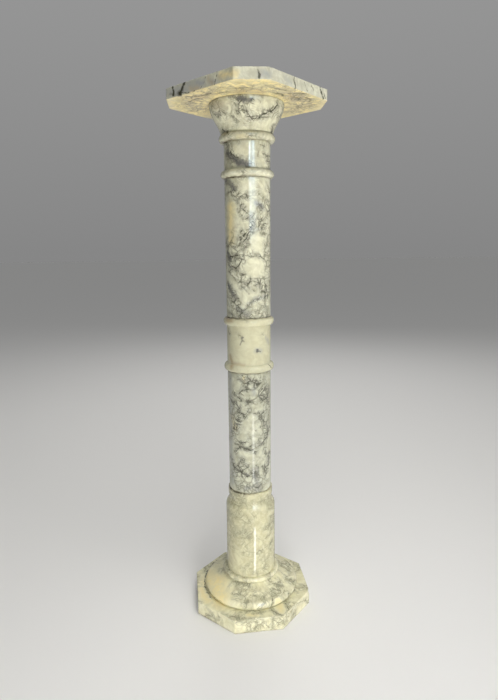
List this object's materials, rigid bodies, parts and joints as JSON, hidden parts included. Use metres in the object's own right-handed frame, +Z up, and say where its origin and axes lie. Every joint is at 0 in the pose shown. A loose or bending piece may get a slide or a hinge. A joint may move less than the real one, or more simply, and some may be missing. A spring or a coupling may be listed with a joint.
{
  "type": "alabaster pedestal column",
  "caption": "Turned alabaster pedestal column with an octagonal base, ringed round shaft, flared capital and a square top slab with clipped corners, to display a bust, vase or lamp.",
  "frame": {"origin": "centre of the plinth's underside, on the floor, on the column's axis", "axes": "+Z up along the column's axis, and -Y out of the plinth's front face"},
  "size_m": [0.2976, 0.2976, 1.05],
  "materials": {
    "veined_alabaster": "gloss",
    "clean_alabaster": "gloss",
    "grey_alabaster": "gloss"
  },
  "bodies": {
    "root": {"base": "veined_alabaster", "base_drum": "clean_alabaster", "lower_shaft": "veined_alabaster", "knop": "clean_alabaster", "upper_shaft": "veined_alabaster", "neck": "veined_alabaster", "capital": "grey_alabaster", "top_slab": "grey_alabaster"}
  },
  "joints": []
}
